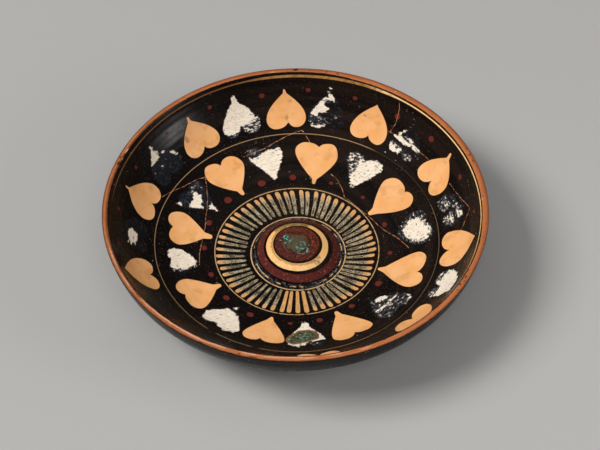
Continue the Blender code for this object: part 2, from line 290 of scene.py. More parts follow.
# What is left of the white on the leaves that had it: how much, from 0 to 1 and more where nothing
# has flaked, and the outline of the patch as angles and runs.
WHITE_PATCHES = (
    (1.3, ((147.2, 109.9), (146.3, 107.6), (147.0, 106.2), (145.1, 104.4), (145.7, 103.1), (146.3, 103.3),
           (146.0, 100.8), (151.3, 100.5), (150.0, 102.6), (148.4, 105.6))),
    (1.3, ((145.1, 101.2), (144.4, 102.4), (142.9, 102.2), (143.3, 101.2))),
    (1.1, ((148.1, 96.6), (147.3, 96.6), (147.1, 95.6), (148.2, 95.4))),
    (1.5, ((141.3, 98.6), (140.3, 98.6), (138.9, 95.8), (139.2, 95.2), (140.2, 95.9))),
    (1.3, ((112.0, 110.4), (110.8, 110.4), (109.8, 105.6), (108.1, 103.2), (106.9, 101.6), (106.2, 98.6),
           (105.0, 97.0), (105.6, 94.8), (108.0, 92.6), (111.2, 91.9), (112.6, 89.4), (114.8, 88.8),
           (117.8, 89.8), (118.6, 92.3), (117.6, 96.0), (114.6, 102.6), (112.4, 106.6))),
    (0.55, ((111.2, 91.8), (108.0, 92.8), (105.4, 95.8), (103.4, 97.0), (103.0, 91.0), (104.6, 87.4),
            (107.4, 86.4), (110.4, 87.8))),
    (0.6, ((117.8, 90.0), (112.6, 89.4), (113.6, 87.4), (116.6, 86.8))),
    (1.3, ((78.2, 112.0), (77.4, 112.0), (77.3, 111.0), (78.3, 111.0))),
    (1.2, ((78.3, 109.2), (77.4, 108.4), (76.2, 106.0), (75.6, 103.8), (77.3, 104.0), (79.0, 105.0),
           (78.2, 106.2))),
    (1.4, ((79.0, 106.0), (77.6, 104.6), (79.4, 103.0), (79.3, 100.6), (77.6, 99.4), (78.5, 96.9),
           (80.9, 96.5), (81.8, 94.4), (84.2, 95.0), (83.0, 98.2), (81.2, 101.8), (79.8, 104.6))),
    (0.48, ((84.8, 94.4), (84.6, 90.4), (82.0, 88.2), (79.0, 88.4), (76.8, 90.6), (77.6, 94.0))),
    (1.1, ((83.6, 88.9), (80.4, 89.1), (77.6, 90.2), (78.6, 88.2), (81.4, 87.2), (83.6, 88.0))),
    (0.9, ((74.7, 95.8), (74.0, 95.8), (74.0, 94.0), (74.7, 94.0))),
    (1.3, ((50.6, 97.4), (48.6, 98.0), (45.8, 97.6), (41.0, 98.2), (38.0, 98.3), (38.2, 97.4),
           (42.0, 96.7), (44.8, 95.4), (48.0, 95.8), (50.4, 96.4))),
    (1.2, ((49.6, 98.2), (48.0, 102.0), (46.6, 103.7), (47.4, 102.0), (48.8, 98.0))),
    (0.5, ((50.2, 99.0), (45.0, 100.6), (40.0, 99.6), (37.6, 98.0), (37.4, 95.4), (45.0, 95.4))),
    (1.2, ((50.9, 92.8), (49.0, 91.6), (47.0, 90.8), (46.4, 92.4), (45.0, 92.2), (45.2, 89.8),
           (47.6, 88.2), (50.0, 89.0))),
    (0.65, ((50.8, 93.4), (45.2, 93.2), (45.2, 88.8), (47.8, 88.0), (50.4, 88.8))),
    (0.5, ((44.6, 92.8), (39.0, 91.8), (38.4, 89.0), (41.2, 87.7), (44.2, 89.4))),
    (1.0, ((37.2, 95.2), (36.7, 95.2), (36.6, 94.2), (37.2, 94.0))),
    (0.44, ((17.3, 92.4), (15.0, 94.8), (11.0, 95.0), (9.8, 92.0), (10.6, 88.6), (13.4, 87.1), (16.2, 87.8))),
    (0.72, ((14.6, 92.2), (12.0, 92.6), (11.4, 90.8), (13.8, 90.6))),
    (0.52, ((9.0, 93.0), (7.5, 94.8), (3.0, 94.9), (2.0, 92.5), (3.6, 89.0), (6.0, 87.1), (8.4, 88.5))),
    (0.8, ((8.2, 93.2), (3.0, 94.2), (2.6, 93.0), (5.8, 90.9), (8.0, 91.2))),
    (0.42, ((15.2, 96.2), (12.0, 99.4), (8.0, 100.4), (5.6, 101.9), (3.6, 100.8), (3.2, 97.4), (5.0, 95.6),
           (10.0, 95.6))),
    (0.95, ((7.0, 98.0), (6.0, 101.4), (4.0, 101.2), (3.8, 97.2), (8.8, 96.6), (10.4, 97.8))),
    (1.4, ((-19.4, 94.8), (-21.6, 101.3), (-24.1, 104.0), (-25.5, 106.8), (-28.3, 107.8), (-30.2, 106.9),
           (-32.1, 106.8), (-31.7, 102.0), (-33.1, 98.4), (-32.5, 95.2), (-32.8, 92.3), (-31.0, 93.9),
           (-27.2, 93.9), (-25.6, 90.0), (-24.1, 88.6), (-24.4, 91.2), (-21.6, 93.0))),
    (0.55, ((-19.6, 93.6), (-20.0, 88.6), (-24.4, 87.4), (-27.2, 92.6), (-30.8, 94.0), (-33.4, 92.4),
            (-32.6, 89.4), (-30.6, 87.2), (-28.0, 89.8), (-26.8, 94.6))),
    (1.3, ((-173.0, 101.3), (-175.0, 99.6), (-177.0, 100.3), (-179.4, 100.1), (179.4, 97.6), (-179.4, 94.0),
           (-177.4, 93.7), (-175.4, 94.8), (-173.6, 95.4), (-174.6, 97.0), (-172.4, 98.4), (-174.4, 99.4))),
    (1.3, ((154.9, 70.7), (153.3, 69.9), (151.2, 70.6), (149.9, 69.7), (149.2, 71.5), (147.7, 71.3),
           (147.0, 72.5), (145.1, 72.3), (146.0, 70.2), (144.4, 68.2), (146.8, 67.1), (147.7, 65.5),
           (149.4, 65.1), (150.4, 62.6), (152.0, 64.0), (153.4, 66.4), (154.4, 68.4))),
    (1.0, ((156.9, 77.0), (155.4, 76.8), (155.0, 74.4), (156.4, 73.4))),
    (1.3, ((149.2, 60.2), (147.2, 60.7), (145.2, 60.3), (146.3, 57.6), (146.5, 55.2), (147.8, 55.1),
           (148.0, 57.8))),
    (0.3, ((156.0, 77.4), (147.6, 75.4), (140.4, 77.0), (141.0, 71.0), (146.0, 72.0), (154.4, 71.4))),
    (1.3, ((112.5, 73.6), (111.2, 71.6), (109.2, 72.1), (107.3, 72.7), (105.3, 73.7), (102.9, 74.7),
           (100.2, 75.2), (97.6, 75.4), (96.3, 73.4), (96.4, 70.0), (97.4, 66.0), (99.4, 62.4),
           (100.7, 58.4), (101.7, 56.0), (103.1, 55.3), (104.4, 57.4), (106.1, 60.4), (108.4, 64.0),
           (110.8, 67.6), (112.2, 70.6))),
    (0.42, ((113.4, 74.4), (112.4, 77.6), (109.5, 78.8), (106.8, 77.4), (106.0, 74.8), (110.0, 72.6))),
    (1.0, ((55.8, 75.4), (53.8, 78.0), (51.0, 79.7), (47.4, 78.6), (46.5, 75.4), (47.4, 71.0), (50.4, 64.0),
           (53.6, 58.4), (54.8, 56.6), (56.6, 59.6), (59.6, 64.2), (58.6, 68.0), (58.0, 73.0))),
    (0.60, ((64.5, 77.0), (61.0, 79.2), (57.3, 77.8), (55.8, 75.4), (58.0, 70.0), (60.0, 64.0), (62.6, 69.0),
            (64.4, 73.0))),
    (1.2, ((13.9, 70.0), (12.8, 74.0), (10.8, 75.8), (9.0, 76.4), (7.0, 78.0), (4.6, 78.6), (2.6, 76.6),
           (1.6, 73.6), (1.6, 70.8), (3.4, 67.6), (6.4, 65.4), (10.0, 64.8), (12.0, 66.0), (13.6, 68.0))),
    (0.75, ((15.6, 69.4), (14.6, 75.6), (10.0, 78.2), (4.4, 80.4), (0.6, 77.0), (0.0, 70.4), (3.0, 65.4),
            (9.0, 62.8), (13.4, 65.0))),
    (0.36, ((18.8, 73.0), (17.2, 77.6), (13.4, 79.5), (10.2, 77.0), (7.4, 80.0), (4.0, 81.1), (0.2, 79.4),
            (-1.6, 74.0), (-0.8, 69.4), (3.4, 63.4), (8.0, 60.4), (13.0, 62.0), (17.4, 66.8))),
    (0.34, ((-30.8, 73.0), (-32.4, 77.0), (-35.8, 78.2), (-41.2, 75.0), (-45.6, 78.5), (-49.4, 75.8),
           (-50.1, 71.0), (-48.4, 65.6), (-43.4, 58.6), (-37.6, 62.8), (-32.4, 67.6))),
    (0.95, ((-31.2, 75.4), (-32.6, 78.2), (-37.8, 78.2), (-37.8, 77.2), (-33.6, 76.9), (-31.9, 74.6))),
    (0.85, ((-32.4, 68.4), (-38.0, 69.6), (-44.6, 68.9), (-48.8, 67.6), (-48.4, 66.2), (-41.6, 67.0),
           (-36.0, 67.2))),
    (1.4, ((-35.6, 64.4), (-37.4, 64.6), (-39.0, 63.8), (-42.6, 62.1), (-41.8, 60.1), (-39.8, 59.9),
           (-37.4, 61.5), (-36.2, 62.8))),
    (1.5, ((-77.1, 71.6), (-81.0, 71.6), (-84.6, 71.9), (-86.4, 74.2), (-93.6, 74.4), (-94.4, 69.4),
           (-92.6, 65.0), (-90.6, 62.0), (-87.4, 58.0), (-86.8, 54.9), (-85.4, 54.3), (-83.2, 55.8),
           (-82.6, 59.6), (-80.0, 63.2), (-77.8, 67.4))),
    (0.75, ((-85.4, 72.6), (-86.6, 76.4), (-90.4, 77.4), (-93.6, 75.2), (-94.4, 70.0), (-88.0, 70.4))),
    (0.2, ((-77.0, 72.0), (-78.4, 77.0), (-81.0, 78.2), (-84.4, 75.0), (-84.6, 71.9))),
    (1.25, ((-117.2, 71.6), (-118.6, 74.2), (-121.0, 74.8), (-125.0, 75.0), (-128.2, 73.4), (-131.0, 75.0),
           (-134.6, 74.8), (-136.9, 70.4), (-135.6, 67.0), (-132.6, 61.6), (-131.4, 59.0), (-127.4, 59.2),
           (-123.2, 60.6), (-119.4, 66.0))),
    (0.8, ((-118.2, 74.4), (-121.6, 76.4), (-125.6, 76.0), (-128.2, 74.2), (-131.4, 77.0), (-134.4, 76.6),
           (-136.0, 74.0), (-128.4, 72.4))),
    (1.1, ((-126.6, 56.9), (-129.4, 57.0), (-129.0, 55.2), (-127.2, 54.8))),
    (1.3, ((-165.4, 73.2), (-165.8, 69.0), (-166.6, 63.6), (-168.0, 59.6), (-171.4, 58.8), (-174.6, 61.0),
           (-177.8, 66.0), (-178.2, 70.4), (-176.8, 74.0), (-173.4, 74.8), (-170.8, 72.8), (-168.0, 74.6))),
    (0.5, ((-164.4, 74.0), (-163.8, 68.0), (-165.8, 60.4), (-168.4, 58.0), (-167.0, 66.0), (-166.6, 74.2))),
)

# The dull traces of white leaves show more on some than on others.
BARE_TRACES = (
    (147.0, 96.0, 12.0, 14.0), (148.0, 68.0, 12.0, 13.0), (104.5, 76.0, 11.0, 5.0),
    (-81.0, 75.0, 5.0, 5.0), (108.0, 91.0, 9.0, 6.0), (-27.0, 92.0, 12.0, 7.0),
)

# Darker smudges on the leaves of bare clay.
CLAY_SMUDGES = (
    (133.0, 98.5, 1.2, 2.4), (93.0, 93.0, 0.9, 1.6), (91.6, 102.4, 1.0, 0.4),
    (63.8, 100.4, 1.2, 0.7), (33.2, 65.9, 0.45, 0.4), (-149.3, 58.0, 0.45, 0.4),
    (-161.0, 96.0, 0.8, 0.5),
)

# A green stain on one of the inner white leaves, as angles and runs.
GREEN_STAIN = (
    (-79.6, 66.4), (-80.6, 69.8), (-83.6, 70.8), (-88.0, 72.4), (-91.6, 73.4), (-94.2, 71.6),
    (-94.2, 68.6), (-91.8, 65.0), (-88.0, 62.0), (-83.6, 61.9), (-80.6, 63.8),
)

# Dots of red between the leaves: the angle, the run and the radius of each.
RED_DOTS = (
    (175.8, 109.5, 1.2), (156.8, 108.7, 1.1), (138.8, 108.7, 1.0), (120.2, 108.9, 1.2),
    (101.4, 107.0, 1.5), (85.3, 109.0, 1.3), (68.8, 108.4, 1.3), (52.3, 107.5, 1.7),
    (36.9, 108.0, 1.8), (17.6, 107.6, 1.5), (1.2, 110.3, 1.2), (-20.5, 108.7, 1.4),
    (-36.0, 109.2, 1.4), (-54.5, 108.7, 1.4), (-72.5, 108.4, 1.4), (-93.0, 108.7, 1.4),
    (-114.5, 108.7, 1.4), (-134.0, 108.7, 1.4), (-151.5, 108.7, 1.3), (-169.5, 109.4, 1.3),
    (178.3, 53.8, 1.6), (158.2, 55.4, 1.8), (136.6, 55.6, 2.1), (111.5, 55.2, 2.1),
    (91.6, 55.8, 1.8), (67.1, 55.3, 1.2), (44.2, 56.1, 1.1), (18.8, 55.4, 1.5), (-4.1, 55.1, 1.3),
    (-29.3, 54.4, 1.9), (-53.6, 53.3, 1.6), (-76.1, 54.5, 1.7), (-93.9, 55.3, 1.2),
    (-118.6, 55.2, 1.9), (-138.3, 54.0, 1.8), (-159.5, 52.7, 1.6),
)

# The tongues round the boss: how many, the angle of the first, the runs of their ends and half their
# width. They crowd together on one side, and how far they lean over their length also goes with the
# angle. Those between the two fresh angles are less worn.
TONGUE_COUNT = 60
TONGUE_START = 177.0
TONGUE_INNER_RUN = 30.2
TONGUE_OUTER_RUN = 47.0
TONGUE_HALF_ANGLE = 1.6
TONGUE_MARGIN = 3.0
TONGUE_SHIFT = 1.9
TONGUE_CROWDING = 2.6
TONGUE_CROWDED_AT = -62.0
TONGUE_LEAN = -1.7
TONGUE_LEAN_SWING = -2.8
TONGUE_LEAN_AT = 40.0
FRESH_TONGUES = (-104.0, -81.0)

# Old breaks, mended and filled: lines of angle and run. Two sets, so that lines that meet are kept
# apart.
CRACKS_ACROSS = (
    ((158.4, 85.8), (153.9, 83.2), (147.1, 79.1), (140.0, 76.7), (136.3, 74.7)),
    ((114.9, 74.5), (104.1, 76.1), (98.7, 79.0), (90.2, 83.9), (86.9, 85.4), (83.4, 78.5)),
    ((69.0, 60.9), (65.0, 58.8), (58.6, 54.1), (54.0, 50.1), (46.5, 49.4), (37.8, 49.2),
     (29.6, 50.3), (19.4, 52.1), (12.2, 55.2), (7.6, 59.1), (3.3, 61.8), (-1.9, 65.6)),
    ((53.5, 97.2), (50.7, 97.5), (45.3, 97.4), (36.6, 97.6), (29.2, 98.1)),
    ((163.5, 89.1), (169.4, 93.9)),
)
CRACKS_ALONG = (
    ((136.3, 74.7), (139.9, 69.1), (145.2, 63.7), (150.9, 60.3), (162.4, 56.1), (173.9, 55.4),
     (-168.4, 57.3)),
    ((53.4, 115.8), (52.6, 112.7), (52.2, 107.7), (52.0, 102.4), (52.5, 97.9)),
    ((19.0, 99.5), (15.1, 100.4), (9.9, 102.8), (4.9, 106.5), (3.7, 106.7), (1.1, 102.8),
     (-1.9, 99.2), (-3.4, 95.0), (-7.7, 92.3)),
)

# Nicks in the lip: the angle, half the length, the depth and how far it is from the lip's middle.
LIP_NICKS = (
    (89.8, 1.6, 0.7, 0.8), (75.0, 0.8, 0.3, -0.6), (71.0, 0.7, 0.3, 0.4), (20.5, 1.0, 0.4, 0.5),
    (112.0, 0.8, 0.3, -0.9), (127.0, 1.2, 0.35, 1.0), (158.0, 1.4, 0.4, 0.9), (-64.0, 1.0, 0.3, -0.5),
    (-129.3, 1.8, 0.5, 0.6), (-112.0, 1.3, 0.5, 1.2), (-30.0, 0.9, 0.3, 0.9), (3.0, 0.8, 0.3, -0.8),
)
# Marks on the lip that are only colour: dark ones, and pale ones where the clay is scuffed bare.
# Each is an angle, the run outwards from the lip's inner edge, half its length and half its width.
LIP_DARK_MARKS = (
    (89.4, 2.9, 1.5, 0.7), (79.6, 2.3, 0.5, 0.4), (76.0, 2.0, 0.9, 0.5), (20.4, 2.3, 1.0, 0.35),
    (17.8, 2.1, 1.6, 0.25), (23.0, 2.6, 1.2, 0.25), (3.0, 1.2, 0.8, 0.3), (161.6, 1.6, 1.5, 0.9),
    (159.0, 2.6, 1.2, 0.4), (-102.6, 3.2, 2.2, 0.35), (-106.6, 2.6, 0.8, 0.4), (-118.0, 3.3, 1.4, 0.3),
    (-143.0, 1.6, 2.4, 0.25), (-146.0, 1.2, 2.0, 0.2), (-27.0, 1.3, 0.5, 0.3), (-29.6, 1.7, 0.9, 0.45),
    (-31.4, 2.4, 0.6, 0.4), (-33.0, 1.5, 0.9, 0.5), (-35.2, 2.2, 0.6, 0.35), (-8.0, 2.3, 0.6, 0.3),
)
LIP_PALE_MARKS = (
    (159.6, 0.9, 0.6, 0.4), (156.0, 1.4, 1.8, 0.4), (-124.0, 1.5, 7.0, 0.45), (-129.0, 1.1, 6.0, 0.4),
    (-119.0, 1.9, 6.0, 0.4), (-113.6, 1.6, 5.0, 0.45), (-133.6, 1.5, 6.0, 0.4), (-96.0, 1.7, 6.0, 0.4),
    (-91.0, 1.3, 4.6, 0.35), (-86.6, 1.9, 3.6, 0.35), (-139.0, 1.8, 6.0, 0.35), (97.0, 1.5, 1.2, 0.35),
    (2.0, 0.4, 1.0, 0.4), (56.0, 1.7, 0.5, 0.5), (-150.0, 2.0, 7.0, 0.3), (-160.0, 2.1, 7.0, 0.3),
    (-104.0, 1.6, 4.0, 0.4), (-79.0, 1.5, 4.0, 0.3), (-70.0, 2.0, 3.0, 0.3),
)
# Chips and worn streaks on the outside below the lip: an angle, a run from the lip's outer edge,
# half the length and half the width.
OUTSIDE_CHIPS = (
    (-110.6, 2.6, 0.7, 0.5), (-111.6, 3.4, 0.5, 0.3), (-117.0, 3.0, 2.2, 0.3), (-104.0, 9.4, 2.4, 0.3),
    (-102.0, 10.6, 1.8, 0.25), (-70.0, 1.6, 2.0, 0.3), (-47.0, 4.0, 1.2, 0.3), (-20.0, 3.0, 0.8, 0.3),
)

# Depths and distances beyond this count as this far, and a patch of white fades over its edge's
# width.
FAR = 9.0
WHITE_EDGE = 1.5

# A leaf's points are looked for within this reach of its middle. Those of a patch or of a stretch of
# crack are looked for this far beyond its size, and a crack's values are kept this far from it.
LEAF_REACH = 22.0
SEARCH_MARGIN = 4.0
CRACK_REACH = 3.0

# Relief in millimetres: the throwing marks, their slow unevenness, how far the lip is worn down,
# and the crust's reach and height.
THROWING_MARKS = 0.035
UNEVENNESS = 0.06
LIP_WEAR = 0.05
NICK_HALF_WIDTH = 1.1
CRUST_REACH = 13.0
CRUST_HEIGHT = 0.5


def turned_from(centre, angle):
    """The turn from one angle to another, the short way round, in radians."""
    return np.radians((angle - centre + 180) % 360 - 180)


class Surface:
    """The bowl's points as arrays: radius, height, angle and run, row by row from the boss."""

    def __init__(self):
        points, inside_count, fine_count = profile()
        self.inside_rows = inside_count
        counts = [self.points_round(point, i < fine_count) for i, point in enumerate(points)]
        # No row has more than twice or less than half the points of its neighbour.
        for i in range(len(counts) - 1, inside_count, -1):
            counts[i - 1] = min(counts[i - 1], counts[i] * 2)
        for i in range(1, len(counts)):
            if i <= inside_count:
                counts[i] = min(counts[i], counts[i - 1] * 2)
            counts[i] = max(counts[i], counts[i - 1] // 2)
        counts[0] = counts[-1] = 1
        self.counts = counts
        self.first = np.concatenate(([0], np.cumsum(counts)))

        runs = [0.0]
        for before, point in zip(points, points[1:]):
            runs.append(runs[-1] + (point - before).length / MM)
        self.profile_radius = np.array([point.x / MM for point in points])
        self.profile_run = np.array(runs)
        self.lip_run = runs[inside_count]
        self.radius = np.repeat(self.profile_radius, counts)
        self.height = np.repeat([point.y / MM for point in points], counts)
        self.run = np.repeat(self.profile_run, counts)
        self.angle = np.concatenate([np.arange(count) * 360.0 / count for count in counts])
        self.inside = self.run < self.lip_run

        normals = []
        for before, after in zip(points[:1] + points[:-1], points[1:] + points[-1:]):
            along = (after - before).normalized()
            normals.append((-along.y, along.x))
        self.normal = np.repeat(np.array(normals), counts, axis=0)

    @staticmethod
    def points_round(point, fine):
        """How many points a row has round it."""
        spacing = POINT_SPACING if fine else OUTSIDE_SPACING
        count = FINEST_TURN
        while count > COARSEST_TURN and 2 * math.pi * point.x / count < spacing:
            count //= 2
        return count

    def radius_at(self, run):
        """The radius at a run on the inside."""
        last = self.inside_rows
        return float(np.interp(run, self.profile_run[:last], self.profile_radius[:last]))

    def flat(self, angle, run, centre):
        """A place laid out flat about a centre angle: across, clockwise, and its run."""
        return np.array((turned_from(angle, centre) * self.radius_at(run), run))

    def flat_points(self, chosen, centre):
        """The chosen points laid out flat about a centre angle."""
        turn = turned_from(self.angle[chosen], centre)
        return np.stack((turn * self.radius[chosen], self.run[chosen]), axis=1)

    def near(self, angle, run, reach):
        """The inside points within about this reach of a place."""
        across = np.abs(turned_from(angle, self.angle)) * self.radius_at(run)
        return np.where(self.inside & (across < reach) & (np.abs(self.run - run) < reach))[0]

    def faces(self):
        """Quads between rows of equal count, triangles where the count doubles or at an end."""
        made = []
        for row, (count, following) in enumerate(zip(self.counts, self.counts[1:])):
            here, there = int(self.first[row]), int(self.first[row + 1])
            if count == 1:
                made += [(here, there + i, there + (i + 1) % following) for i in range(following)]
            elif following == 1:
                made += [(here + (i + 1) % count, here + i, there) for i in range(count)]
            elif count == following:
                for i in range(count):
                    after = (i + 1) % count
                    made.append((here + i, there + i, there + after, here + after))
            elif following == 2 * count:
                for i in range(count):
                    after = (i + 1) % count
                    middle, far = there + 2 * i + 1, there + (2 * i + 2) % following
                    made.append((here + i, there + 2 * i, middle))
                    made.append((here + i, middle, here + after))
                    made.append((here + after, middle, far))
            else:
                for i in range(following):
                    after = (i + 1) % following
                    middle, far = here + 2 * i + 1, here + (2 * i + 2) % count
                    made.append((here + 2 * i, there + i, middle))
                    made.append((middle, there + i, there + after))
                    made.append((middle, there + after, far))
        return made


def bend(*points, steps=8):
    """Points of a Bezier curve without its last one, as an array."""
    made = interpolate_bezier(*[Vector(point) for point in points], steps + 1)
    return np.array([tuple(point)[:2] for point in made[:-1]])


def half_leaf(notch, lobe, side, neck, fullness):
    """One side of an ivy leaf, from its notch round the lobe and up to the neck below its tip."""
    drop = lobe - notch
    turn = side - lobe
    rise = neck - side
    inner = bend(notch, notch + drop * (0.10, 0.62), lobe - drop * (0.50, 0.0), lobe)
    outer = bend(lobe, lobe + turn * (0.58, 0.0), side - turn * (0.0, 0.52), side)
    flank = bend(side, side + rise * (0.0, fullness), neck - rise * (0.36, 0.24), neck)
    return np.concatenate((inner, outer, flank))


def leaf_outline(surface, leaf, fullness):
    """A whole ivy leaf laid out flat about its own centre, with its short stem."""
    centre = leaf[1][0]
    tip, notch, left, right, left_lobe, right_lobe = [surface.flat(*place, centre) for place in leaf[:6]]
    length, end_half, neck_half = leaf[6]
    down = (notch - tip) / np.linalg.norm(notch - tip)
    across = np.array((abs(down[1]), -abs(down[1]) * down[0] / down[1]))
    neck = tip + down * length
    left_half = half_leaf(notch, left_lobe, left, neck - across * neck_half, fullness)
    right_half = half_leaf(notch, right_lobe, right, neck + across * neck_half, fullness)
    end = [neck - across * neck_half]
    for aside, below in ((-1.0, 0.9), (-0.8, 0.3), (0.0, 0.0), (0.8, 0.3), (1.0, 0.9)):
        end.append(tip + across * aside * end_half + down * below * end_half)
    end.append(neck + across * neck_half)
    return centre, np.concatenate((left_half, end, right_half[::-1]))


def signed_distance(points, outline):
    """Distance from each point to a closed outline, positive inside it."""
    start, end = outline, np.roll(outline, -1, axis=0)
    along = end - start
    offset = points[:, None] - start[None]
    length = np.maximum((along**2).sum(axis=1), 1e-12)
    share = np.clip((offset * along).sum(axis=2) / length, 0, 1)
    nearest = np.linalg.norm(offset - share[..., None] * along, axis=2).min(axis=1)
    rises = (start[:, 1] > points[:, None, 1]) != (end[:, 1] > points[:, None, 1])
    slant = np.where(np.abs(along[:, 1]) < 1e-9, 1e-9, along[:, 1])
    crossing = start[:, 0] + along[:, 0] * (points[:, None, 1] - start[:, 1]) / slant
    within = (rises & (points[:, None, 0] < crossing)).sum(axis=1) % 2 == 1
    return np.where(within, nearest, -nearest)


def leaf_field(surface, groups):
    """How deep each point lies inside the nearest leaf, in millimetres."""
    field = np.full(len(surface.run), -FAR)
    for leaves, fullness in groups:
        for leaf in leaves:
            centre, outline = leaf_outline(surface, leaf, fullness)
            middle_run = (leaf[0][1] + leaf[4][1]) / 2
            chosen = surface.near(centre, middle_run, LEAF_REACH)
            depth = signed_distance(surface.flat_points(chosen, centre), outline)
            field[chosen] = np.maximum(field[chosen], depth)
    return field


def patch_depth(surface, outline):
    """The points near a patch drawn by its outline, and how deep each lies inside it."""
    centre, middle_run = outline[0]
    flat = np.array([surface.flat(*place, centre) for place in outline])
    reach = np.ptp(flat, axis=0).max() + SEARCH_MARGIN
    chosen = surface.near(centre, middle_run, reach)
    return chosen, signed_distance(surface.flat_points(chosen, centre), flat)


def cover_field(surface):
    """How much white is left at each point, fading across a patch's edge."""
    cover = np.zeros(len(surface.run))
    for amount, outline in WHITE_PATCHES:
        chosen, depth = patch_depth(surface, outline)
        share = np.clip(depth / WHITE_EDGE + 0.5, 0, 1)
        cover[chosen] = np.maximum(cover[chosen], amount * share)
    return cover


def oval_field(surface, ovals, start_run=0.0):
    """How deep each point lies inside the nearest of these ovals: angle, run, half length along the
    ring and half width, in millimetres. Runs are counted from the start run."""
    field = np.full(len(surface.run), -FAR)
    for angle, run, half_length, half_width in ovals:
        across = turned_from(angle, surface.angle) * surface.radius
        share = np.hypot(across / half_length, (surface.run - start_run - run) / half_width)
        field = np.maximum(field, (1 - share) * min(half_length, half_width))
    return field


def crack_fields(surface, cracks):
    """The signed distance across the nearest crack and how far a point is from its ends."""
    across = np.full(len(surface.run), FAR)
    reach = np.full(len(surface.run), -FAR)
    for crack in cracks:
        for (start_angle, start_run), (end_angle, end_run) in zip(crack, crack[1:]):
            start = surface.flat(start_angle, start_run, start_angle)
            end = surface.flat(end_angle, end_run, start_angle)
            length = np.linalg.norm(end - start)
            along = (end - start) / length
            chosen = surface.near(start_angle, start_run, length + SEARCH_MARGIN)
            offset = surface.flat_points(chosen, start_angle) - start
            position = offset @ along
            aside = offset @ np.array((-along[1], along[0]))
            beyond = np.maximum(np.maximum(-position, position - length), 0)
            total = np.hypot(aside, beyond)
            so_far = np.hypot(across[chosen], np.maximum(-reach[chosen], 0))
            closer = (total < so_far) & (total < CRACK_REACH)
            across[chosen[closer]] = aside[closer]
            reach[chosen[closer]] = -beyond[closer]
    return across, reach


def tongue_fields(surface):
    """How deep each point lies inside the nearest tongue, and whether that tongue is a fresh one."""
    random = np.random.default_rng(SEED)
    depth = np.full(len(surface.run), -FAR)
    tone = random.uniform(0, 1, TONGUE_COUNT)
    shade = np.zeros(len(surface.run))
    above = surface.run > TONGUE_INNER_RUN - TONGUE_MARGIN
    below = surface.run < TONGUE_OUTER_RUN + TONGUE_MARGIN
    chosen = np.where(surface.inside & above & below)[0]
    run, angle = surface.run[chosen], surface.angle[chosen]
    for k in range(TONGUE_COUNT):
        tip = TONGUE_START - k * 360.0 / TONGUE_COUNT + TONGUE_SHIFT
        tip += TONGUE_CROWDING * math.cos(math.radians(tip - TONGUE_CROWDED_AT))
        tip += random.uniform(-0.7, 0.7)
        lean = TONGUE_LEAN + TONGUE_LEAN_SWING * math.cos(math.radians(tip - TONGUE_LEAN_AT))
        inner = TONGUE_INNER_RUN + random.uniform(-0.4, 0.8)
        outer = TONGUE_OUTER_RUN + random.uniform(-0.5, 0.5)
        centre = tip + lean * (outer - run) / (outer - inner)
        turn = turned_from(centre, angle) * surface.radius[chosen]
        half = math.radians(TONGUE_HALF_ANGLE) * surface.radius[chosen] * random.uniform(0.88, 1.12)
        past_end = np.maximum(np.maximum(run - (outer - half), inner + half - run), 0)
        inside = half - np.hypot(turn, past_end)
        better = inside > depth[chosen]
        depth[chosen[better]] = inside[better]
        shade[chosen[better]] = 1.0 if FRESH_TONGUES[0] < tip < FRESH_TONGUES[1] else 0.5 * tone[k]
    return depth, shade


def relief(surface):
    """How far each point stands out of the turned form, in millimetres: slight throwing marks on
    the inside, nicks in the lip and the crust on the boss."""
    turn = np.radians(surface.angle)
    out = THROWING_MARKS * np.sin(surface.run * 1.35) * surface.inside
    out += UNEVENNESS * np.sin(3 * turn + 0.7) * np.sin(surface.run / 9.0) * surface.inside
    on_lip = (surface.run > surface.lip_run - 0.6) & (surface.run < surface.lip_run + 4.6)
    out[on_lip] = -LIP_WEAR
    middle = surface.lip_run + LIP_WIDTH / MM / 2
    for angle, half_length, depth, aside in LIP_NICKS:
        across = turned_from(angle, surface.angle) * surface.radius
        share = np.hypot(across / half_length, (surface.run - middle - aside) / NICK_HALF_WIDTH)
        out -= depth * np.clip(1 - share**2, 0, 1) * on_lip
    crust = np.where(surface.inside & (surface.run < CRUST_REACH))[0]
    for i in crust:
        x, y = surface.radius[i] * math.cos(turn[i]), surface.radius[i] * math.sin(turn[i])
        lumps = noise.fractal(Vector((x * 0.45, y * 0.45, 3.0)), 1.0, 2.0, 3)
        share = 1 - (math.hypot((x - 0.6) / 7.5, (y + 0.8) / 6.5)) ** 2
        out[i] += max(0.0, lumps + 0.25) * CRUST_HEIGHT * min(1.0, max(0.0, share) * 3)
    return out


def set_values(mesh, name, values):
    """Keeps a value at each of the mesh's points."""
    attribute = mesh.attributes.new(name, "FLOAT", "POINT")
    attribute.data.foreach_set("value", np.asarray(values, dtype=np.float32))


